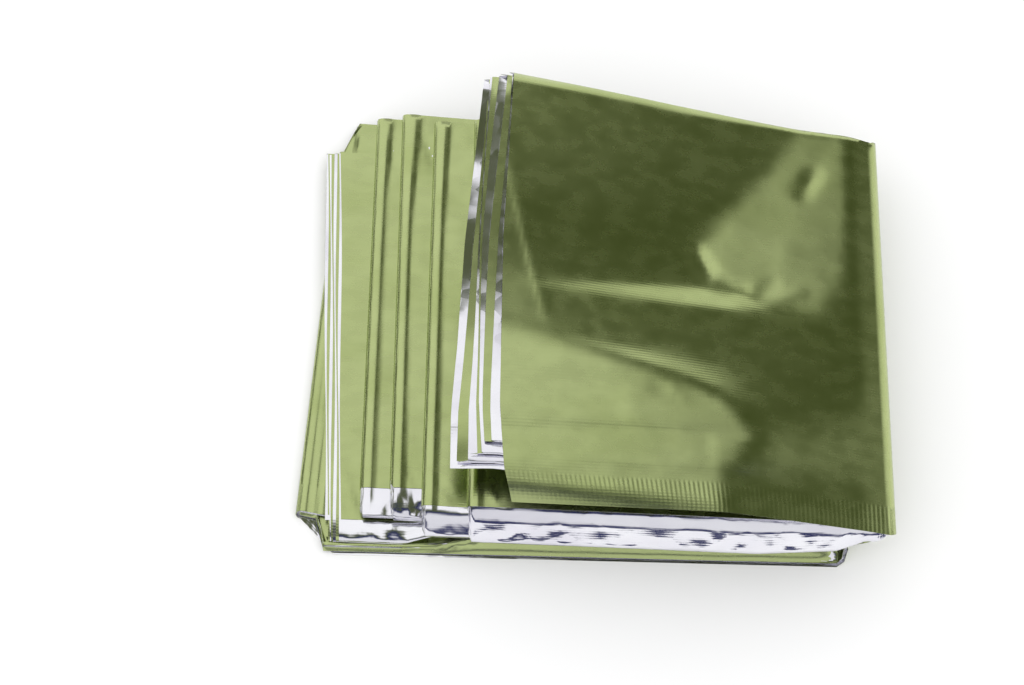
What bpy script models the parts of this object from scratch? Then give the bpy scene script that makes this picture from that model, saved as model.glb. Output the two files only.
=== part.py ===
"""Emergency foil blanket, folded to a packet whose last panel springs up.

The blanket is one sheet, 2.1 m long and 1.3 m wide, olive on its outside and silver inside.
It is folded back and forth across its width into a strip of eight plies, and the strip is folded
back and forth along its length into twelve panels. This solid is the strip: one back-and-forth
section with the plies pressed together, from the end tucked in over the two base panels, round
them, up through the stack, and out over the top as the flap.

+X runs along the strip to the hinge of the flap, +Y to the back edge, +Z up from the surface.
"""

import math

import bmesh
import bpy

MM = 0.001

# Driving dimensions, in millimetres.
STRIP = 1.6  # thickness of the eight plies
AIR = 0.5  # between two panels
PITCH = STRIP + AIR
HINGE_RADIUS = 4.6  # the springy fold that carries the flap
FLAP_RISE = 12.0  # of the flap from its hinge to its free end
FLAP_DROOP = 4.0  # of the flap's front margin, at the free end

FOLD_SEGMENTS = 6  # facets round a pressed fold
HINGE_SEGMENTS = 10
FLAP_SEGMENTS = 12

# A row for each place where the strip ends, turns or changes its outline, in the strip's order.
# x and y give the line across the strip there, at its back and its front edge. layer counts the
# panels up from the surface: it is the panel that an "end" or a "point" lies in, the one that
# follows a "right" or a "left" fold, and the one that the "hinge" leaves.
COLUMNS = ("kind", "layer", "x_back", "x_front", "y_back", "y_front")
STRIP_ROWS = (
    ("end", 2, -102.5, -96.8, 73.5, -78.0),
    ("right", 1, 91.0, 91.0, 80.0, -80.0),
    ("left", 0, -97.5, -105.5, 84.0, -71.0),
    ("point", 0, -86.5, -96.5, 84.5, -87.5),
    ("right", 3, 90.0, 90.0, 82.5, -87.5),
    ("left", 4, -84.0, -82.5, 87.5, -79.0),
    ("right", 5, 92.0, 91.5, 84.0, -79.5),
    ("left", 6, -74.0, -72.0, 87.0, -79.5),
    ("right", 7, 90.5, 91.0, 83.0, -80.5),
    ("left", 8, -61.0, -60.0, 82.0, -80.0),
    ("right", 9, 92.5, 92.0, 82.0, -82.0),
    ("left", 10, -44.0, -43.0, 82.5, -80.5),
    ("hinge", 10, 101.6, 102.0, 75.0, -83.5),
    ("flap", 10, -38.5, -42.0, 87.0, -72.0),
)

# Shares of the way from the back edge to the front edge. The section is drawn at each station,
# and the flap droops from MARGIN on.
MARGIN = 0.92
STATIONS = (0.0, 0.04, 0.35, 0.65, MARGIN, 0.97, 1.0)


def mix(a, b, share):
    return a + (b - a) * share


def ease(share):
    """From 0 to 1, level at both ends."""
    share = min(1.0, max(0.0, share))
    return share * share * (3.0 - 2.0 * share)


def layer_height(layer):
    """Height of the middle of the strip in a flat panel."""
    return STRIP / 2 + layer * PITCH


def across(row, station):
    """(x, y) of a row's line, at a share of the way from back to front."""
    return (
        mix(row["x_back"], row["x_front"], station),
        mix(row["y_back"], row["y_front"], station),
    )


def turn(x, y, start, stop, side, segments):
    """Points round a fold to the right (side 1) or the left (-1), between two heights."""
    middle, radius = (start + stop) / 2, (stop - start) / 2
    for step in range(segments + 1):
        angle = math.pi * step / segments
        yield x + side * abs(radius) * math.sin(angle), y, middle - radius * math.cos(angle)


def flap_points(hinge, flap, station):
    """Points from the hinge to the free end: the flap rises fast at first, then levels out."""
    x_hinge, y_hinge = across(hinge, station)
    x_end, y_end = across(flap, station)
    low = layer_height(hinge["layer"]) + 2 * HINGE_RADIUS
    droop = FLAP_DROOP * ease((station - MARGIN) / (1.0 - MARGIN))
    for step in range(1, FLAP_SEGMENTS + 1):
        share = step / FLAP_SEGMENTS
        height = low + FLAP_RISE * math.sin(share * math.pi / 2) - droop * share
        yield mix(x_hinge, x_end, share), mix(y_hinge, y_end, share), height


def section(rows, station):
    """The middle line of the strip at one station, from the tucked end to the flap's free end."""
    points = []
    for before, row in zip((None,) + rows[:-1], rows):
        x, y = across(row, station)
        if row["kind"] in ("end", "point"):
            points.append((x, y, layer_height(row["layer"])))
        elif row["kind"] == "hinge":
            low = layer_height(row["layer"])
            points += turn(x, y, low, low + 2 * HINGE_RADIUS, 1, HINGE_SEGMENTS)
        elif row["kind"] == "flap":
            points += flap_points(before, row, station)
        else:
            side = 1 if row["kind"] == "right" else -1
            start, stop = layer_height(before["layer"]), layer_height(row["layer"])
            points += turn(x, y, start, stop, side, FOLD_SEGMENTS)
    return points


def strip_mesh():
    """The strip's middle surface: its sections, joined by rows of faces."""
    rows = tuple(dict(zip(COLUMNS, row)) for row in STRIP_ROWS)
    shape = bmesh.new()
    sections = [
        [shape.verts.new([MM * c for c in point]) for point in section(rows, station)]
        for station in STATIONS
    ]
    for back, front in zip(sections, sections[1:]):
        for i in range(len(back) - 1):
            shape.faces.new((back[i], front[i], front[i + 1], back[i + 1]))
    mesh = bpy.data.meshes.new("foil_blanket")
    shape.to_mesh(mesh)
    shape.free()
    return mesh


def foil_material():
    """Olive metallised film."""
    material = bpy.data.materials.new("olive_foil")
    material.use_nodes = True
    shader = material.node_tree.nodes["Principled BSDF"]
    shader.inputs["Base Color"].default_value = (0.30, 0.36, 0.13, 1.0)
    shader.inputs["Metallic"].default_value = 1.0
    shader.inputs["Roughness"].default_value = 0.3
    return material


def clear_scene():
    for leftover in list(bpy.data.objects):
        bpy.data.objects.remove(leftover)


def main():
    clear_scene()
    collection = bpy.data.collections.new("emergency_foil_blanket")
    bpy.context.scene.collection.children.link(collection)
    blanket = bpy.data.objects.new("foil_blanket", strip_mesh())
    collection.objects.link(blanket)
    blanket.data.materials.append(foil_material())
    shell = blanket.modifiers.new("strip_thickness", "SOLIDIFY")
    shell.thickness = STRIP * MM
    shell.offset = 0.0
    shell.use_even_offset = True
    shell.use_quality_normals = True


main()
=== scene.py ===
"""Looks of the emergency foil blanket: one olive and silver sheet, folded twice to a packet.

The sheet is folded back and forth across its width into a strip of eight plies, and the strip
back and forth along its length into twelve panels. Here the whole sheet is one mesh that follows
both sets of folds. Lengths are in millimetres until the mesh is made.

Terms: a line runs along the strip at one place across the sheet; a ply is one of the eight layers
of the strip, 0 to 7; a panel is a stretch of the strip between two of its folds.
"""

import math

import bpy
import numpy as np
from mathutils import Matrix, Vector, noise


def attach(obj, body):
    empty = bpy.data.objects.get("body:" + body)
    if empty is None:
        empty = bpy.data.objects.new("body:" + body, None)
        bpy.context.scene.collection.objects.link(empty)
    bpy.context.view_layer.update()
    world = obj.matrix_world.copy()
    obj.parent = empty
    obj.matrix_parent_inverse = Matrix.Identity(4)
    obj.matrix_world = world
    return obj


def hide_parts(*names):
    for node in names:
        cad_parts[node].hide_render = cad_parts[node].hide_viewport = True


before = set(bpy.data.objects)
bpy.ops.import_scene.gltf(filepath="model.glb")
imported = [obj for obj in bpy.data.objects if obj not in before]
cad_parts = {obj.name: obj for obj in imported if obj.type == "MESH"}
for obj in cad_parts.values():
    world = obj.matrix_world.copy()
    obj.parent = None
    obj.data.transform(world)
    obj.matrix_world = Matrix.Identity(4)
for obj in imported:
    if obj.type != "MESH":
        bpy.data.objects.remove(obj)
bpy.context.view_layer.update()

MM = 0.001
NODE = "foil_blanket"

# ---- the strip -------------------------------------------------------------------------------

PLIES = 8
PLY_GAP = 0.2  # between the plies where they are pressed together
STRIP = 1.6  # thickness of the eight plies
PITCH = 2.1  # from one panel to the next
HINGE_RADIUS = 4.6
HINGE_SWEEP = math.radians(150)  # the flap's crease is where the hinge ends
FILM = 0.08  # thickness of the film as modelled
CUT_WIDTH, CUT_LENGTH = 1300.0, 2100.0
PLY_WIDTH = CUT_WIDTH / PLIES

# A row for each panel, in the strip's order. back and front are the lines of its edges, as (x, y)
# pairs; front is where the outer plies are cut. The inner plies reach further by reach, as
# (x, mm) pairs: level for flat mm, then down at slope degrees. crumple is the height of their
# creases.
PANEL_COLUMNS = ("name", "layer", "back", "front", "reach", "flat", "slope", "crumple")
PANEL_ROWS = (
    ("tucked", 2, ((-99, 74), (91, 77)), ((-90, -77.3), (91, -80)),
     ((-98, 8.2), (-66, 8.2), (-50, 0.5)), 0.5, 14, 0.9),
    ("fan_top", 1, ((-98.7, 74), (-92.6, 88.5), (91, 77)), ((-107, -73.5), (-92, -76), (91, -80)),
     ((-98, 0.5), (91, 0.5)), 1.0, 10, 0.2),
    ("base", 0, ((-98.7, 75), (-92.6, 89.5), (90, 77)),
     ((-106, -74.5), (-98.2, -76), (-97.4, -88), (90, -87.8)),
     ((-98, 0.0), (90, 0.0)), 1.0, 0, 0.0),
    ("b_low", 3, ((-84, 87), (90, 77)), ((-84, -66.8), (90, -78)),
     ((-84, 0.3), (90, 0.3)), 1, 5, 0.1),
    ("b", 4, ((-84, 87.5), (92, 78)), ((-84, -66.3), (-60, -67), (92, -79)),
     ((-84, 11.4), (-62, 11.0), (-50, 1.0)), 11.0, 6, 0.7),
    ("c_low", 5, ((-73, 87), (92, 78)), ((-73, -67.6), (92, -79)), ((-73, 0.3), (92, 0.3)), 1, 5, 0.1),
    ("c", 6, ((-73, 87.2), (91, 77)), ((-73, -67.6), (-55, -68), (91, -79)),
     ((-73, 11.5), (-58, 11.5), (-45, 1.0)), 1.5, 18, 2.0),
    ("d_low", 7, ((-60, 82), (91, 77)), ((-60, -75.2), (91, -80)), ((-60, 0.3), (91, 0.3)), 1, 5, 0.1),
    ("d", 8, ((-60, 82), (92, 76)), ((-60, -75.6), (92, -80)),
     ((-60, 12.5), (-40, 12.0), (-25, 1.0)), 2.6, 52, 1.1),
    ("e_low", 9, ((-44, 81), (92, 76)), ((-44, -76.5), (92, -80)), ((-44, 0.3), (92, 0.3)), 1, 5, 0.1),
    ("e", 10, ((-44, 81), (102, 75)), ((-44, -77), (20, -78.2), (102, -80)),
     ((-44, 15.5), (60, 15.0), (88, 12.0), (98, 7)), 0.6, 57, 1.1),
    ("flap", 10, ((-34, 90.4), (105, 70.4)), ((-29, -81.8), (50, -84.6), (105, -86.6)),
     ((-34, 0.0), (105, 0.0)), 1, 0, 0.0),
)

# A row for each turn of the strip between two panels: its side, and its line at the back and front
# edges. The hinge carries the flap.
TURN_COLUMNS = ("side", "x_back", "x_front")
TURN_ROWS = (
    (1, 91.0, 91.0),
    (-1, -97.5, -105.9),
    (1, 90.0, 90.0),
    (-1, -83.4, -82.2),
    (1, 92.0, 91.5),
    (-1, -73.3, -71.0),
    (1, 90.5, 91.0),
    (-1, -60.5, -59.3),
    (1, 92.5, 92.0),
    (-1, -44.9, -42.8),
    (1, 101.6, 102.0),
)
HINGE = len(TURN_ROWS) - 1
FLAP = HINGE + 1

# A turn's line runs from its back to its front between these places.
STATION_BACK, STATION_SPAN = 85.0, 165.0

# Ends of the strip: (y, x) pairs of the top ply's end, and of how much further the bottom ply
# reaches.
TUCKED_END = ((-86, -90.2), (-40, -92.6), (74, -98.9))
TUCKED_STAGGER = ((-86, 5.8), (74, 6.0))
FLAP_END = ((-82, -28.6), (-70, -31.7), (-46, -33.7), (20, -34.2), (88, -31.9))
FLAP_STAGGER = ((-70, 18.9), (-23, 15.8), (60, 12.4), (88, 11.4))

panels = tuple(dict(zip(PANEL_COLUMNS, row)) for row in PANEL_ROWS)
turns = tuple(dict(zip(TURN_COLUMNS, row)) for row in TURN_ROWS)


def ease(low, high, value):
    """From 0 at low to 1 at high, level at both ends."""
    share = np.clip((value - low) / (high - low), 0.0, 1.0)
    return share * share * (3.0 - 2.0 * share)


def along(pairs, value):
    """A table of (place, number) pairs, read at value."""
    places, numbers = zip(*pairs)
    return np.interp(value, places, numbers)


def station(y, low=-0.05, high=1.08):
    """Share of the way from the packet's back to its front."""
    return np.clip((STATION_BACK - y) / STATION_SPAN, low, high)


def layer_height(layer):
    return STRIP / 2 + layer * PITCH


def fractal(x, y, size, seed, octaves=3):
    """Smooth noise of about -1 to 1 over x and y."""
    points = np.stack([x / size, y / size, np.full_like(x, seed)], axis=-1)
    flat = points.reshape(-1, 3)
    values = [noise.fractal(Vector(p), 0.9, 2.1, octaves) for p in flat]
    return np.array(values).reshape(x.shape)


def crease(x, y, row):
    """A ridge (height > 0) or trough (height < 0) along a line, fading out at its ends."""
    x0, y0, x1, y1, height, width = row
    length = math.hypot(x1 - x0, y1 - y0)
    ux, uy = (x1 - x0) / length, (y1 - y0) / length
    s = (x - x0) * ux + (y - y0) * uy
    d = (y - y0) * ux - (x - x0) * uy
    fade = np.sin(np.pi * np.clip(s / length, 0, 1)) ** 0.6
    return height * fade * np.exp(-((d / width) ** 2))


def inside(x, y, outline, soft):
    """1 well inside an outline of (x, y) points, 0 well outside it, soft mm wide at its edge."""
    points = list(outline)
    nearest = np.full(x.shape, 1e9)
    odd = np.zeros(x.shape, bool)
    for (x0, y0), (x1, y1) in zip(points, points[1:] + points[:1]):
        dx, dy = x1 - x0, y1 - y0
        s = np.clip(((x - x0) * dx + (y - y0) * dy) / (dx * dx + dy * dy), 0, 1)
        nearest = np.minimum(nearest, np.hypot(x - x0 - s * dx, y - y0 - s * dy))
        crosses = (y0 > y) != (y1 > y)
        odd ^= crosses & (x < dx * (y - y0) / (dy if dy else 1e-9) + x0)
    return ease(-soft, soft, np.where(odd, nearest, -nearest))


# ---- the flap's surface ----------------------------------------------------------------------

GRID = 1.0  # mm between the places where the flap's height is worked out
GRID_X = np.arange(-60.0, 112.0, GRID)
GRID_Y = np.arange(-100.0, 100.0, GRID)

# Where the flap lies level instead of falling to the right: outline, softness of its edge, and
# how level it is there. The rows are the light patch in front, the one at the back right, and the
# wedge along the free end.
LEVEL_COLUMNS = ("outline", "soft", "share")
LEVEL_ROWS = (
    (((-70, -8), (-20, -20), (2, -27), (32, -36), (46, -43), (58, -57), (42, -76), (0, -78),
      (-70, -78)), 4.0, 1.0),
    (((80, 82), (66, 60), (44, 34), (33, 20), (40, 6), (60, -1), (82, -6), (92, 6), (96, 40),
      (99, 82)), 6.0, 1.0),
    (((-70, 52), (-32, 52), (-17, -16), (-70, -8)), 1.2, 0.35),
)
FREE_END_X, HINGE_END_X = -34, 104.4
RISE = 15.2  # of the flap, from the hinge to its free end
SAG = 1.3  # of the inner plies, below the top one, away from the flap's edges
ROW_SMOOTHING = 41  # rows of the grid that share their slopes
LEVEL_SLOPE = -0.01
RIGHT_SLOPE = 0.30  # of the dark band beside the hinge

FRONT_MARGIN = -72.0  # y in front of which the flap keeps its slopes

# Creases: line from (x0, y0) to (x1, y1), height and half width.
FLAP_CREASES = (
    (-33, 50, -17, -16, 0.25, 1.0),
    (36, 24, 44, 9, -0.5, 2.0),
    (44, 9, 58, 4, -0.45, 1.8),
    (58, 4, 68, 9, -0.35, 1.6),
    (50, 3, 60, -4, 0.3, 1.6),
    (60, -2, 78, 6, 0.3, 1.8),
    (84, 58, 76, 44, -0.45, 3.0),
    (26, 22, 32, 12, 0.25, 1.6),
    (18, -38, 30, -43, -0.25, 1.6),
    (28, -40, 44, -44, -0.3, 1.8),
    (-14, -54, 10, -56, -0.05, 1.8),
    (16, -58, 34, -60, -0.07, 1.8),
    (40, -60, 56, -62, 0.3, 1.6),
    (44, -66, 54, -74, -0.25, 2.4),
    (-6, 6, 8, -26, 0.1, 2.0),
)


def flap_grid():
    """Heights of the flap's top ply over GRID_Y and GRID_X, from its slopes."""
    x, y = np.meshgrid(GRID_X, GRID_Y)
    level = np.zeros(x.shape)
    for row in (dict(zip(LEVEL_COLUMNS, values)) for values in LEVEL_ROWS):
        level = np.maximum(level, row["share"] * inside(x, y, row["outline"], row["soft"]))
    right = ease(92, 98, x) * ease(135, 80, np.abs(y - 20))
    flat = LEVEL_SLOPE * level + RIGHT_SLOPE * right
    weight = (1 - level) * (1 - right)
    on_flap = (x > FREE_END_X) & (x < HINGE_END_X)
    # The rest of the rise is shared by what isn't level, smoothed from row to row.
    rest = (RISE - (flat * on_flap).sum(1) * GRID) / ((weight * on_flap).sum(1) * GRID)
    kernel = np.hanning(ROW_SMOOTHING)
    rest = np.convolve(np.pad(rest, ROW_SMOOTHING // 2, "edge"), kernel / kernel.sum(), "valid")
    slope = flat + weight * rest[:, None]
    slope[GRID_Y < FRONT_MARGIN] = slope[GRID_Y == FRONT_MARGIN]
    height = np.cumsum((slope * GRID)[:, ::-1], axis=1)[:, ::-1]
    hinge_top = layer_height(panels[FLAP]["layer"]) + HINGE_RADIUS
    hinge_top += (HINGE_RADIUS + (PLIES - 1) / 2 * PLY_GAP) * math.sin(HINGE_SWEEP - math.pi / 2)
    start = np.array([np.interp(HINGE_END_X, GRID_X, row) for row in height])
    height += (hinge_top - start)[:, None]
    for row in FLAP_CREASES:
        height += crease(x, y, row)
    height += 0.16 * fractal(x, y, 38.0, 3.0) * ease(104, 90, x)
    # The back edge rolls down, more at the free end, and the front margin droops.
    roll = along(((-34, 9.0), (30, 7.0), (70, 3.5), (104, 1.2)), x)
    back = along(panels[FLAP]["back"], x)
    over = np.clip((y - back + roll) / roll, 0, 1.2)
    height -= 0.42 * roll * over ** 2
    front = along(panels[FLAP]["front"], x)
    margin = along(((-34, 9.0), (60, 8.0), (104, 5.0)), x)
    under = np.clip((front + margin - y) / margin, 0, 1.3)
    height -= along(((-34, 3.2), (30, 1.4), (60, 0.7), (104, 0.4)), x) * under ** 1.6
    return height


flap_heights = flap_grid()


def flap_height(x, y):
    """The flap's top ply, read between the grid's points."""
    i = np.clip((x - GRID_X[0]) / GRID, 0, len(GRID_X) - 1.001)
    k = np.clip((y - GRID_Y[0]) / GRID, 0, len(GRID_Y) - 1.001)
    i0, k0 = i.astype(int), k.astype(int)
    part_x, part_y = i - i0, k - k0
    h = flap_heights
    low = h[k0, i0] * (1 - part_x) + h[k0, i0 + 1] * part_x
    high = h[k0 + 1, i0] * (1 - part_x) + h[k0 + 1, i0 + 1] * part_x
    return low * (1 - part_y) + high * part_y


# ---- lines across the sheet ------------------------------------------------------------------

FRONT_ZONE = 22.0  # mm at the front where lines are close together
FRONT_STEPS = (0.0, 0.8, 2.0, 3.6, 5.6, 8.0, 11.0, 15.0, 19.0)
FOLD_STEPS = (0.2, 0.4, 0.6, 0.8)
# Lines on each ply behind the front zone, and how closely the lines there and in it are divided.
PLY_LINES = {0: 38, 7: 60, "*": 9}
PLY_GROUPS = {0: "under", 7: "top", "*": "inner"}
ZONE_GROUPS = {0: "front", 1: "front", 7: "top", "*": "hidden"}


def sheet_lines():
    """Every line across the sheet, from one cut edge to the other.

    A line is (kind, ply, place, group). On a ply, place is its share of the way to the front
    zone, or 1 plus its share of the zone. In the fold from ply to the next one, it is the share
    of the turn. group picks how closely the line is divided.
    """
    lines = []
    for ply in range(PLIES):
        count = PLY_LINES.get(ply, PLY_LINES["*"])
        group = PLY_GROUPS.get(ply, PLY_GROUPS["*"])
        places = [(k / count, group) for k in range(count)]
        near = ZONE_GROUPS.get(ply, ZONE_GROUPS["*"])
        steps = FRONT_STEPS[::2] if near == "hidden" else FRONT_STEPS
        zone = [(2 - step / FRONT_ZONE, near) for step in reversed(steps)]
        on_ply = places + zone
        if ply % 2 == 0:
            on_ply.reverse()
        lines += [("ply", ply, place, kind) for place, kind in on_ply]
        if ply < PLIES - 1:
            group = "front" if ply % 2 else "back"
            lines += [("fold", ply, step, group) for step in FOLD_STEPS]
    return lines


# How many divisions each group of lines has in each panel: those in the zone next to its left
# end, where it shows, and those in the rest of it. "*" is any other panel.
LEFT_ZONE = 26.0
DIVISIONS = {  # group: {panel: (left, rest)}
    "top": {"flap": (16, 66), "fan_top": (26, 2), "*": (2, 2)},
    "under": {"flap": (10, 8), "tucked": (12, 3), "b": (20, 2), "c": (20, 2), "d": (20, 2),
              "e": (20, 3), "base": (5, 3), "*": (2, 2)},
    "inner": {"flap": (9, 5), "tucked": (5, 2), "*": (2, 1)},
    "front": {"flap": (10, 20), "e": (20, 76), "d": (20, 4), "c": (20, 3), "b": (20, 3),
              "tucked": (18, 6), "fan_top": (14, 2), "base": (14, 50), "*": (2, 2)},
    "hidden": {"flap": (9, 5), "e": (5, 16), "base": (5, 8), "*": (3, 2)},
    "back": {"flap": (10, 28), "*": (4, 3)},
}
TURN_STEPS = {"top": 4, "under": 4, "inner": 3, "front": 4, "back": 4, "hidden": 3}
HINGE_STEPS = {"top": 10, "under": 7, "inner": 5, "front": 8, "back": 8, "hidden": 5}


def places_along(group):
    """Places along the strip where a group's lines are divided, in the strip's order.

    2 * panel to 2 * panel + 1 is a panel, and 2 * panel + 1 to 2 * panel + 2 the turn after it.
    """
    places = []
    for i, panel in enumerate(panels):
        left, rest = DIVISIONS[group].get(panel["name"], DIVISIONS[group]["*"])
        length = panel_length(i)
        zone = LEFT_ZONE / length
        shares = [k / left * zone for k in range(left)]
        shares += [zone + k / rest * (1 - zone) for k in range(rest + 1)]
        if runs_left(i):
            shares = [1 - s for s in reversed(shares)]
        places += [2 * i + s for s in shares]
        if i < FLAP:
            steps = HINGE_STEPS[group] if i == HINGE else TURN_STEPS[group]
            places += [2 * i + 1 + k / steps for k in range(1, steps)]
    return np.array(places)


def runs_left(panel):
    """The strip runs right in the tucked panel, and turns back at each fold."""
    return panel % 2 == 1


def panel_length(i):
    """Length of a panel along the strip, at the back edge."""
    ends = [turns[k]["x_back"] for k in (i - 1, i) if 0 <= k < len(turns)]
    if len(ends) == 1:
        ends.append(TUCKED_END[-1][1] if i == 0 else FLAP_END[-1][1])
    return abs(ends[0] - ends[1])


# ---- places on the sheet ---------------------------------------------------------------------


def turn_x(i, share):
    """x of a turn's line, at a share of the way from back to front."""
    return turns[i]["x_back"] + (turns[i]["x_front"] - turns[i]["x_back"]) * share


def ply_offset(ply):
    """How far a ply is from the middle of the strip."""
    return (ply - (PLIES - 1) / 2) * PLY_GAP


def panel_edges(i, x):
    """Back edge, front edge and reach of the inner plies, at x."""
    panel = panels[i]
    return along(panel["back"], x), along(panel["front"], x), along(panel["reach"], x)


NEST = (0, 0, 1, 1, 2, 2, 0, 0)  # how deep each ply's back fold sits inside the outer ones
NEST_STEP = 0.25
INNER_STEP = 0.3  # the same at the front, in panels whose inner plies reach forward
FLAP_SHORT = (13.6, 15.5, 15.5, 18.0, 18.0, 22.0, 22.0)  # the flap's plies 0 to 6, at the free end
FLAP_FULL = ((-34, 0.0), (0, 6.0), (105, 9.0))  # how much less than that by x


def ply_span(i, ply, x):
    """(y of the ply's back end, y of its front end before it bends down) in panel i."""
    back, front, reach = panel_edges(i, x)
    nest = NEST_STEP * NEST[ply]
    name = panels[i]["name"]
    if name == "flap":
        end = front if ply == PLIES - 1 else front + FLAP_SHORT[ply] - along(FLAP_FULL, x)
        return back - 0.5 * nest, end
    if ply == 0:
        return back - nest, front
    if ply == PLIES - 1:
        return back, front - (1.0 if name == "base" else 0.0)
    inner = INNER_STEP * (1 + abs(3.5 - ply) / 2.5)
    return back - nest, front - reach + inner


BEND = 1.6  # length of the bend where the inner plies' front ends turn down


def drape(i, y, front):
    """Bends what reaches past the front line down. Returns y, the drop and the tilt there."""
    panel = panels[i]
    slope = math.radians(panel["slope"])
    beyond = np.clip(front - y, 0.0, None)
    start = panel["flat"]
    past = np.clip(beyond - start, 0.0, None)
    in_bend = np.minimum(past, BEND)
    angle = slope * in_bend / BEND
    safe = max(slope, 1e-6)  # a level panel has no bend
    run = BEND / safe * np.sin(angle) + (past - in_bend) * math.cos(slope)
    fall = BEND / safe * (1 - np.cos(angle)) + (past - in_bend) * math.sin(slope)
    bent = front - np.minimum(beyond, start) - run
    return np.where(beyond > 0, bent, y), fall, angle


def place_points(line, places):
    """Positions of one line's points, as an array of rows (x, y, z)."""
    points = np.zeros((len(places), 3))
    segment = np.minimum(np.floor(places).astype(int), 2 * FLAP)
    share = places - segment
    for number in np.unique(segment):
        chosen = segment == number
        i = number // 2
        if number % 2 == 0:
            points[chosen] = on_panel(line, i, share[chosen])
        else:
            points[chosen] = on_turn(line, i, share[chosen])
    return points


def across(line, i, x):
    """y before draping, the ply or the place between two, and the front edge, at x in panel i."""
    kind, ply, place, _ = line
    _, front, _ = panel_edges(i, x)
    if kind == "ply":
        y_back, y_front = ply_span(i, ply, x)
        if place <= 1:
            y = y_back + (y_front + FRONT_ZONE - y_back) * place
        else:
            y = y_front + FRONT_ZONE * (2 - place)
        return y, np.full_like(x, float(ply)), front
    angle = math.pi * place
    ends = [ply_span(i, p, x) for p in (ply, ply + 1)]
    at_front = ply % 2 == 1
    y_end = [e[1] if at_front else e[0] for e in ends]
    gap = fold_gap(i, x)
    mid = y_end[0] * (1 - place) + y_end[1] * place
    y = mid + (-1 if at_front else 1) * gap / 2 * math.sin(angle)
    return y, np.full_like(x, ply + 0.5 - 0.5 * math.cos(angle)), front


def fold_gap(i, x):
    """How far apart the two plies of a fold are."""
    if panels[i]["name"] == "flap":
        return flap_gap(x)
    return np.full_like(x, PLY_GAP)


def flap_gap(x):
    """Between the flap's plies: pressed together at the hinge, apart at the free end."""
    return 0.173 + 0.95 * ease(70, -45, x) ** 1.3


SETTLE = 3  # passes: a point's x depends a little on its y, and its y on its x


def on_panel(line, i, share):
    """Points of a line on panel i."""
    kind, ply, place, _ = line
    at_ply = ply if kind == "ply" else ply + place
    y = np.zeros_like(share)
    for _ in range(SETTLE):
        t = station(y)
        start = turn_x(i - 1, t) if i > 0 else tucked_end(at_ply, y)
        stop = turn_x(i, t) if i < FLAP else flap_end(at_ply, y)
        if i == FLAP:
            radius = HINGE_RADIUS + ply_offset(at_ply)
            start = start + math.cos(HINGE_SWEEP - math.pi / 2) * radius
        x = start + (stop - start) * share
        y_flat, plies, front = across(line, i, x)
        y, fall, angle = drape(i, y_flat, front)
    offset = ply_offset(plies)
    if i == FLAP:
        z = flap_height(x, y) - (PLIES - 1 - plies) * flap_gap(x)
        z = z + end_curl(plies, x, y) * np.minimum(PLIES - 1 - plies, 1)
        away = ease(-26, -8, x) * ease(100, 90, x) * ease(-72, -60, y) * ease(80, 66, y)
        z = z - SAG * away * np.minimum(PLIES - 1 - plies, 1)
        return np.stack([x, y, z], axis=-1)
    up = 1.0 if runs_left(i) else -1.0
    z = layer_height(panels[i]["layer"]) + up * offset * np.cos(angle) - fall
    y = y - up * offset * np.sin(angle)
    z = z + relief(i, x, y, y_flat, front, plies)
    if panels[i]["name"] == "base":
        z = base_front(x, z, y_flat, front, plies)
    return np.stack([x, y, z], axis=-1)


# The base's front edge by x: height of its top ply, how far it reaches forward, and the share of
# that where it is highest.
LIP_HEIGHT = ((-98, 3.6), (-70, 3.4), (-55, 5.0), (-40, 9.0), (40, 9.5), (84, 8.0), (92, 3.0))
LIP_REACH = ((-98, 3.0), (-60, 3.2), (-40, 7.0), (90, 7.0))
LIP_CREST = ((-98, 0.45), (-60, 0.4), (-35, 0.12), (90, 0.10))
LOWEST, LOWEST_STEP = 0.06, 0.14  # the bottom ply over the surface, and each ply over the next


def base_front(x, z, y_flat, front, plies):
    """Height of the base, whose upper plies swell up in front and curl over to the surface."""
    top = along(LIP_HEIGHT, x)
    inner = along(LIP_REACH, x)
    span = (front + inner - y_flat) / inner  # 0 behind the lip, 1 at the cut edge
    share = np.clip(span, 0.0, 1.15)
    crest = along(LIP_CREST, x) + 0.09 * fractal(x, y_flat, 11.0, 2.0, 2)
    rise = (top - 1.6) * ease(0.0, 1.0, share / crest)
    curl = (top - 1.0) * ease(0.0, 1.0, (share - crest) / (1.0 - crest)) ** 1.2
    high = 1.0 - plies / (PLIES - 1)  # 1 at the top ply, 0 at the bottom one
    lift = (rise - curl) * high ** 0.5
    return np.maximum(z + lift, LOWEST + LOWEST_STEP * (PLIES - 1 - plies))


def tucked_end(ply, y):
    """x where a ply of the tucked end is cut: the top one, ply 0, is the furthest right."""
    jitter = 0.35 * np.sin(ply * 5.1 + 0.05 * y)
    return along(TUCKED_END, y) - along(TUCKED_STAGGER, y) * (ply / (PLIES - 1)) + jitter


def flap_end(ply, y):
    """x where a ply of the flap is cut: the top one, ply 7, is the furthest right."""
    down = (PLIES - 1 - ply) / (PLIES - 1)
    jitter = 1.7 * np.sin(ply * 7.3 + 0.02 * y) * np.sin(np.pi * np.clip(down, 0, 1)) ** 0.5
    return along(FLAP_END, y) - along(FLAP_STAGGER, y) * down + jitter


def end_curl(plies, x, y):
    """The inner plies' ends curl up and down unevenly along the flap's open end."""
    wave = np.sin(plies * 2.6 + y * 0.11) + 0.6 * np.sin(plies * 4.1 - y * 0.27)
    return 0.55 * wave * ease(-38, -50, x + 1.6 * plies)


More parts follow.
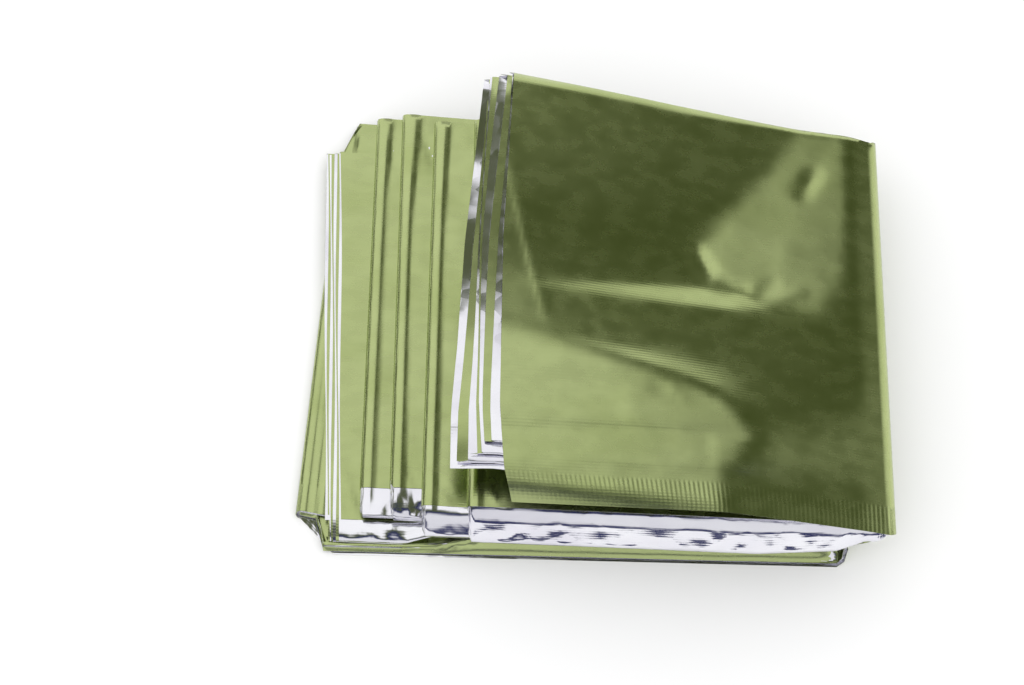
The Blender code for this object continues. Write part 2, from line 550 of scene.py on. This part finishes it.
def on_turn(line, i, share):
    """Points of a line in the turn after panel i."""
    side = turns[i]["side"]
    start = layer_height(panels[i]["layer"])
    stop = start + 2 * HINGE_RADIUS if i == HINGE else layer_height(panels[i + 1]["layer"])
    sweep = HINGE_SWEEP if i == HINGE else math.pi
    angle = sweep * share
    y = np.zeros_like(share)
    for _ in range(SETTLE):
        t = station(y)
        x = turn_x(i, t)
        y_before, plies, front = across(line, i, x)
        y_after, _, front_after = across(line, i + 1, x)
        before = drape(i, y_before, front)
        after = drape(i + 1, y_after, front_after)
        blend = ease(0.0, 1.0, share)
        y = before[0] * (1 - blend) + after[0] * blend
    fall = before[1] * (1 - blend) + after[1] * blend
    offset = ply_offset(plies)
    radius = abs(stop - start) / 2
    rises = 1.0 if stop > start else -1.0
    x = x + (side * radius + rises * offset) * np.sin(angle)
    z = (start + stop) / 2 - (rises * radius + side * offset) * np.cos(angle) - fall
    if i != HINGE:
        near = relief(i, turn_x(i, t), y, y_before, front, plies)
        far = relief(i + 1, turn_x(i, t), y, y_after, front_after, plies)
        z = z + near * (1 - blend) + far * blend
    if "base" in (panels[i]["name"], panels[i + 1]["name"]):
        z = np.maximum(z, LOWEST)
    return np.stack([x, y, z], axis=-1)


# ---- relief of the panels --------------------------------------------------------------------

# The bead that runs along each left fold that shows: panel, (y, width) pairs and height.
BEADS = {
    "b": (((-70, 3.4), (20, 3.0), (55, 3.0), (86, 5.0)), 0.42),
    "c": (((-70, 3.4), (20, 2.6), (45, 3.0), (86, 6.0)), 0.45),
    "d": (((-78, 3.6), (20, 2.8), (45, 3.0), (80, 4.5)), 0.45),
    "e": (((-78, 3.6), (80, 3.2)), 0.4),
}

# Creases: panel, line from (x0, y0) to (x1, y1), height and half width.
PANEL_CREASES = (
    ("tucked", -94, -20, -84, -20, -0.12, 0.7),
    ("tucked", -94, -38, -83, -41, -0.2, 0.8),
    ("tucked", -94, -51, -82, -51, -0.18, 0.7),
    ("tucked", -92, -58, -84, -60, -0.12, 0.8),
    ("tucked", -91, -59, -84, -78, 0.25, 1.2),
    ("tucked", -99, 66, -85, 66, -0.2, 0.9),
    ("b", -83, 18, -74, 18, -0.14, 0.7),
    ("b", -82, -52, -73, -52, -0.14, 0.7),
    ("b", -80, 80, -76, 66, -0.2, 1.4),
    ("c", -72, -50, -62, -50, -0.16, 0.7),
    ("c", -68, -56, -62, -68, -0.14, 0.8),
    ("c", -68, 82, -60, 62, -0.25, 1.6),
    ("c", -71, 84, -61, 76, 0.25, 1.4),
    ("d", -58, 50, -46, 50, -0.15, 0.8),
    ("d", -58, 62, -46, 60, 0.18, 1.0),
    ("d", -57, 70, -46, 67, -0.2, 1.0),
    ("d", -54, 78, -47, 72, 0.12, 1.4),
    ("d", -52, 16, -47, 17, 0.2, 0.8),
    ("d", -57, -64, -48, -75, -0.16, 0.8),
    ("e", -40, -60, -32, -74, -0.3, 1.2),
    ("e", -38, -66, -34, -76, 0.3, 1.0),
)
FAN_RIDGES, FAN_HEIGHT = 4, 0.35
FAN_WIDTH = ((-76, 13.0), (88, 3.0))  # (y, width) pairs: the ridges run together at the back
WAVED = ("tucked", "b", "c", "d", "e")  # panels that are gently uneven


def relief(i, x, y, y_flat, front, plies):
    """Height added to a panel's surface by beads, creases and crumples."""
    panel = panels[i]
    name = panel["name"]
    added = np.zeros_like(x)
    if name in BEADS:
        widths, height = BEADS[name]
        fold = turn_x(i - 1, station(y, 0, 1))
        s = np.clip((x - fold) / along(widths, y), 0, 1)
        added += height * np.sin(np.pi * s) ** 1.2
    for row in PANEL_CREASES:
        if row[0] == name:
            added += crease(x, y, row[1:])
    if name == "fan_top":
        s = (x - turn_x(i, station(y, 0, 1))) / along(FAN_WIDTH, y)
        ridges = np.where(s < 1.2, 0.5 - 0.5 * np.cos(2 * np.pi * FAN_RIDGES * s), 0)
        added += FAN_HEIGHT * ridges * (s > 0)
    if name in WAVED:
        added += 0.12 * fractal(x, y, 16.0, 5.0 + i)
    shown = plies / (PLIES - 1) if runs_left(i) else 1 - plies / (PLIES - 1)
    added *= shown ** 2  # the plies below the one that shows lie flatter
    beyond = np.clip(front - y_flat, 0, None)
    if panel["crumple"] and np.any(beyond > 0):
        shape = ridged(x, beyond, i)
        # The plies under the silver one that shows stay below its creases.
        hidden = 0.0 if runs_left(i) else np.clip(plies - 1.0, 0.0, 1.0)
        shape = shape * (1 - hidden) - 0.7 * hidden
        added += panel["crumple"] * shape * ease(0.0, 2.5, beyond)
    return added


def ridged(x, beyond, seed):
    """Crumpled film: sharp ridges between hollow facets, about -1 to 1."""
    big = 1 - 2 * np.abs(fractal(x, beyond * 1.3, 9.0, seed + 0.3, 1))
    small = 1 - 2 * np.abs(fractal(x, beyond * 1.3, 4.0, seed + 7.7, 1))
    return 0.7 * big + 0.3 * small


# ---- the mesh --------------------------------------------------------------------------------


SAME_PLACE = 1e-6
ZONE_SHARE = 0.86  # of a ply's width that lies behind its front zone, on the flat sheet


def joined(first, second, start_first, start_second):
    """Faces between two lines whose points are at the places first and second."""
    faces = []
    a = b = 0
    while a < len(first) - 1 or b < len(second) - 1:
        next_a = first[a + 1] if a < len(first) - 1 else math.inf
        next_b = second[b + 1] if b < len(second) - 1 else math.inf
        here, there = start_first + a, start_second + b
        if abs(next_a - next_b) < SAME_PLACE:
            faces.append((here, here + 1, there + 1, there))
            a, b = a + 1, b + 1
        elif next_a < next_b:
            faces.append((here, here + 1, there))
            a += 1
        else:
            faces.append((here, there + 1, there))
            b += 1
    return faces


def flat_place(line, places):
    """(u, v) of a line's points on the flat sheet, in metres."""
    kind, ply, place, _ = line
    share = 1.0
    if kind == "ply":
        share = place * ZONE_SHARE
        if place > 1:
            share = ZONE_SHARE + (place - 1) * (1 - ZONE_SHARE)
        share = share if ply % 2 else 1 - share
    v = (ply + share) * PLY_WIDTH
    u = places / (2 * FLAP + 1) * CUT_LENGTH
    return u * MM, np.full_like(u, v * MM)


def blanket_mesh():
    """The whole sheet: its lines, joined one to the next, with its flat places as a UV map."""
    lines = sheet_lines()
    groups = {group: places_along(group) for group in DIVISIONS}
    points, flats, starts, faces = [], [], [], []
    total = 0
    for line in lines:
        places = groups[line[3]]
        points.append(place_points(line, places))
        flats.append(np.stack(flat_place(line, places), axis=-1))
        starts.append(total)
        total += len(places)
    for k in range(len(lines) - 1):
        first, second = groups[lines[k][3]], groups[lines[k + 1][3]]
        faces += joined(first, second, starts[k], starts[k + 1])
    mesh = bpy.data.meshes.new("foil_sheet")
    mesh.from_pydata((np.concatenate(points) * MM).tolist(), [], faces)
    layer = mesh.uv_layers.new(name="cut")
    flat = np.concatenate(flats)
    corners = np.zeros(len(mesh.loops), np.int32)
    mesh.loops.foreach_get("vertex_index", corners)
    layer.data.foreach_set("uv", flat[corners].astype(np.float32).ravel())
    mesh.shade_smooth()
    sharpen_cut_edges(mesh)
    return mesh


def sharpen_cut_edges(mesh):
    """Keeps the shading of the sheet's faces from turning round its cut edges."""
    edge_of_corner = np.zeros(len(mesh.loops), np.int32)
    mesh.loops.foreach_get("edge_index", edge_of_corner)
    cut = np.bincount(edge_of_corner, minlength=len(mesh.edges)) == 1
    mesh.attributes.new("sharp_edge", "BOOLEAN", "EDGE").data.foreach_set("value", cut)


# ---- materials -------------------------------------------------------------------------------


def new_material(name):
    material = bpy.data.materials.new(name)
    material.use_nodes = True
    tree = material.node_tree
    return material, tree, tree.nodes["Principled BSDF"]


def node(tree, kind, **settings):
    """A new node, with its inputs or its own settings given by name."""
    made = tree.nodes.new(kind)
    for name, value in settings.items():
        if name in made.inputs:
            made.inputs[name].default_value = value
        else:
            setattr(made, name, value)
    return made


def streaks(tree, vector, scale, detail=3.0):
    """Noise drawn out along one direction of the sheet: scale is (along u, along v)."""
    mapping = node(tree, "ShaderNodeMapping")
    mapping.inputs["Scale"].default_value = (scale[0], scale[1], 1.0)
    tree.links.new(vector, mapping.inputs["Vector"])
    made = node(tree, "ShaderNodeTexNoise", Scale=1.0, Detail=detail, Roughness=0.55)
    tree.links.new(mapping.outputs["Vector"], made.inputs["Vector"])
    return made.outputs["Fac"]


def ranged(tree, value, low, high, to_low, to_high):
    """value, eased from to_low at low to to_high at high."""
    made = node(tree, "ShaderNodeMapRange", interpolation_type="SMOOTHSTEP")
    names = ("From Min", "From Max", "To Min", "To Max")
    for name, number in zip(names, (low, high, to_low, to_high)):
        made.inputs[name].default_value = number
    tree.links.new(value, made.inputs["Value"])
    return made.outputs["Result"]


def maths(tree, operation, first, second):
    """An operation on two numbers or node outputs."""
    made = node(tree, "ShaderNodeMath", operation=operation)
    for socket, value in zip(made.inputs, (first, second)):
        if isinstance(value, (int, float)):
            socket.default_value = value
        else:
            tree.links.new(value, socket)
    return made.outputs["Value"]


RIB_SPACING = 1.1 * MM
CUT_MARGIN = (1.2885, 1.2905)  # metres across the flat sheet: ribs run the other way beyond


def bands(tree, vector, axis, spacing):
    """Even ribs that lie across one axis of the flat sheet, slightly wavy."""
    wave = node(tree, "ShaderNodeTexWave", bands_direction=axis, Scale=2 * math.pi / (20 * spacing))
    wave.inputs["Distortion"].default_value = 1.6
    wave.inputs["Detail"].default_value = 2.0
    wave.inputs["Detail Scale"].default_value = 0.05
    tree.links.new(vector, wave.inputs["Vector"])
    return wave.outputs["Fac"]


# The two sides of the film. colour and dark are mottled; rib, grain and wrinkle are heights in mm.
FILM_COLUMNS = ("name", "colour", "dark", "roughness", "rib", "grain", "wrinkle")
FILM_ROWS = (
    ("olive_foil", (0.46, 0.53, 0.24), (0.41, 0.48, 0.20), 0.26, 0.012, 0.004, 0.03),
    ("silver_foil", (0.86, 0.86, 0.90), (0.74, 0.73, 0.80), 0.13, 0.006, 0.004, 0.22),
)


def foil(name, colour, dark, roughness, rib, grain, wrinkle):
    """Metallised film: fine ribs along the sheet, a finer grain, and a little unevenness."""
    material, tree, shader = new_material(name)
    shader.inputs["Metallic"].default_value = 1.0
    flat = node(tree, "ShaderNodeUVMap", uv_map="cut").outputs["UV"]
    tint = node(tree, "ShaderNodeMix", data_type="RGBA")
    tint.inputs[6].default_value = (*dark, 1.0)
    tint.inputs[7].default_value = (*colour, 1.0)
    cloud = streaks(tree, flat, (22.0, 30.0), 4.0)
    tree.links.new(ranged(tree, cloud, 0.3, 0.6, 0.0, 1.0), tint.inputs[0])
    tree.links.new(tint.outputs[2], shader.inputs["Base Color"])
    speck = streaks(tree, flat, (160.0, 160.0), 3.0)
    rough = ranged(tree, speck, 0.3, 0.7, roughness * 0.9, roughness * 1.12)
    tree.links.new(rough, shader.inputs["Roughness"])
    patch = ranged(tree, streaks(tree, flat, (9.0, 14.0), 2.0), 0.35, 0.6, 0.25, 1.0)
    ribs = maths(tree, "MULTIPLY", bands(tree, flat, "Y", RIB_SPACING), patch)
    heights = maths(tree, "MULTIPLY", ribs, rib)
    across_cut = node(tree, "ShaderNodeSeparateXYZ")
    tree.links.new(flat, across_cut.inputs[0])
    edge = ranged(tree, across_cut.outputs["Y"], *CUT_MARGIN, 0.0, 1.0)
    margin = maths(tree, "MULTIPLY", bands(tree, flat, "X", RIB_SPACING), edge)
    heights = maths(tree, "ADD", heights, maths(tree, "MULTIPLY", margin, 2.0 * rib))
    fine = streaks(tree, flat, (500.0, 500.0), 4.0)
    heights = maths(tree, "ADD", heights, maths(tree, "MULTIPLY", fine, grain))
    cells = node(tree, "ShaderNodeTexVoronoi", Scale=150.0, Randomness=1.0)
    tree.links.new(flat, cells.inputs["Vector"])
    wrinkles = maths(tree, "MULTIPLY", cells.outputs["Distance"], wrinkle)
    heights = maths(tree, "ADD", heights, wrinkles)
    bump = node(tree, "ShaderNodeBump", Strength=1.0, Distance=MM)
    tree.links.new(heights, bump.inputs["Height"])
    tree.links.new(bump.outputs["Normal"], shader.inputs["Normal"])
    return material


def blanket():
    """The sheet with its film's thickness: olive on the faces' own side, silver on the other."""
    sheet = bpy.data.objects.new("foil_sheet", blanket_mesh())
    bpy.context.scene.collection.objects.link(sheet)
    for row in FILM_ROWS:
        sheet.data.materials.append(foil(**dict(zip(FILM_COLUMNS, row))))
    shell = sheet.modifiers.new("film", "SOLIDIFY")
    shell.thickness = FILM * MM
    shell.offset = 0.0
    shell.material_offset = 1
    return sheet


# ---- stage, light and camera -----------------------------------------------------------------


FLOOR_HALF = 3.0  # metres


def floor():
    plane = bpy.data.meshes.new("floor")
    half = FLOOR_HALF
    corners = [(-half, -half, 0), (half, -half, 0), (half, half, 0), (-half, half, 0)]
    plane.from_pydata(corners, [], [(0, 1, 2, 3)])
    made = bpy.data.objects.new("floor", plane)
    bpy.context.scene.collection.objects.link(made)
    material, _, shader = new_material("floor")
    shader.inputs["Base Color"].default_value = (0.93, 0.93, 0.93, 1)
    shader.inputs["Roughness"].default_value = 0.9
    shader.inputs["Specular IOR Level"].default_value = 0.0
    plane.materials.append(material)


WINDOW_LIGHT = (1.05, 1.05, 1.05, 1)
DIM_WALL = (0.085, 0.10, 0.045, 1)
FRONT_WALL = (0.016, 0.022, 0.10, 1)
EVEN_LIGHT = 1.25  # on the floor, and on whatever isn't a mirror


def studio():
    """Windows above and to the left, at the back, at the right and high in front.

    Between them are dim walls, and a darker blue one low in front. The foil mirrors all of this;
    the floor and the camera see an even white.
    """
    world = bpy.data.worlds.new("studio")
    bpy.context.scene.world = world
    world.use_nodes = True
    tree = world.node_tree
    tree.nodes.clear()
    direction = node(tree, "ShaderNodeTexCoord").outputs["Generated"]
    axes = node(tree, "ShaderNodeSeparateXYZ")
    tree.links.new(direction, axes.inputs[0])
    x, y, z = axes.outputs
    right_of, front_of = ranged(tree, x, 0.05, 0.13, 1.0, 0.0), ranged(tree, y, -0.15, 0.02, 0.0, 1.0)
    window = maths(tree, "MULTIPLY", right_of, front_of)
    window = maths(tree, "MULTIPLY", window, ranged(tree, x, -0.9, -0.75, 0.0, 1.0))
    back = ranged(tree, y, 0.84, 0.92, 0.0, 1.0)
    right = ranged(tree, x, 0.66, 0.78, 0.0, 1.0)
    bright = maths(tree, "MAXIMUM", window, maths(tree, "MAXIMUM", back, right))
    front = ranged(tree, y, -0.30, -0.12, 1.0, 0.0)
    # A softer window high in front lights the packet's far sides.
    forward, above = ranged(tree, y, -0.45, -0.30, 1.0, 0.0), ranged(tree, z, 0.12, 0.30, 0.0, 0.8)
    bright = maths(tree, "MAXIMUM", bright, maths(tree, "MULTIPLY", forward, above))
    dim = node(tree, "ShaderNodeMix", data_type="RGBA")
    dim.inputs[6].default_value = DIM_WALL
    dim.inputs[7].default_value = FRONT_WALL
    tree.links.new(front, dim.inputs[0])
    lit = node(tree, "ShaderNodeMix", data_type="RGBA")
    lit.inputs[7].default_value = WINDOW_LIGHT
    tree.links.new(dim.outputs[2], lit.inputs[6])
    tree.links.new(bright, lit.inputs[0])
    seen = node(tree, "ShaderNodeBackground")
    tree.links.new(lit.outputs[2], seen.inputs["Color"])
    even = node(tree, "ShaderNodeBackground", Strength=EVEN_LIGHT)
    even.inputs["Color"].default_value = (1, 1, 1, 1)
    rays = node(tree, "ShaderNodeLightPath")
    pick = node(tree, "ShaderNodeMixShader")
    plain = maths(tree, "MAXIMUM", rays.outputs["Is Camera Ray"], rays.outputs["Is Diffuse Ray"])
    tree.links.new(plain, pick.inputs[0])
    tree.links.new(seen.outputs[0], pick.inputs[1])
    tree.links.new(even.outputs[0], pick.inputs[2])
    out = node(tree, "ShaderNodeOutputWorld")
    tree.links.new(pick.outputs[0], out.inputs[0])


# The photo's viewpoint: above and in front, turned a little about its own axis.
CAMERA_ELEVATION = math.radians(66.0)
CAMERA_ROLL = math.radians(1.5)
CAMERA_TARGET = Vector((-30.0, -9.5, 15.0)) * MM
CAMERA_DISTANCE = 802.5 * MM
LENS = 75.83
CLIP_START = 0.01


def camera():
    back = Vector((0.0, -math.cos(CAMERA_ELEVATION), math.sin(CAMERA_ELEVATION)))
    right = Vector((1.0, 0.0, 0.0))
    up = back.cross(right)
    turned_right = right * math.cos(CAMERA_ROLL) + up * math.sin(CAMERA_ROLL)
    turned_up = up * math.cos(CAMERA_ROLL) - right * math.sin(CAMERA_ROLL)
    lens = bpy.data.cameras.new("camera")
    lens.lens = LENS
    lens.clip_start = CLIP_START
    made = bpy.data.objects.new("camera", lens)
    bpy.context.scene.collection.objects.link(made)
    turn = Matrix((turned_right, turned_up, back)).transposed().to_4x4()
    made.matrix_world = Matrix.Translation(CAMERA_TARGET + back * CAMERA_DISTANCE) @ turn
    bpy.context.scene.camera = made


camera()
floor()
studio()
sheet = blanket()
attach(sheet, "root")
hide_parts(NODE)
bpy.context.scene.view_settings.view_transform = "Standard"
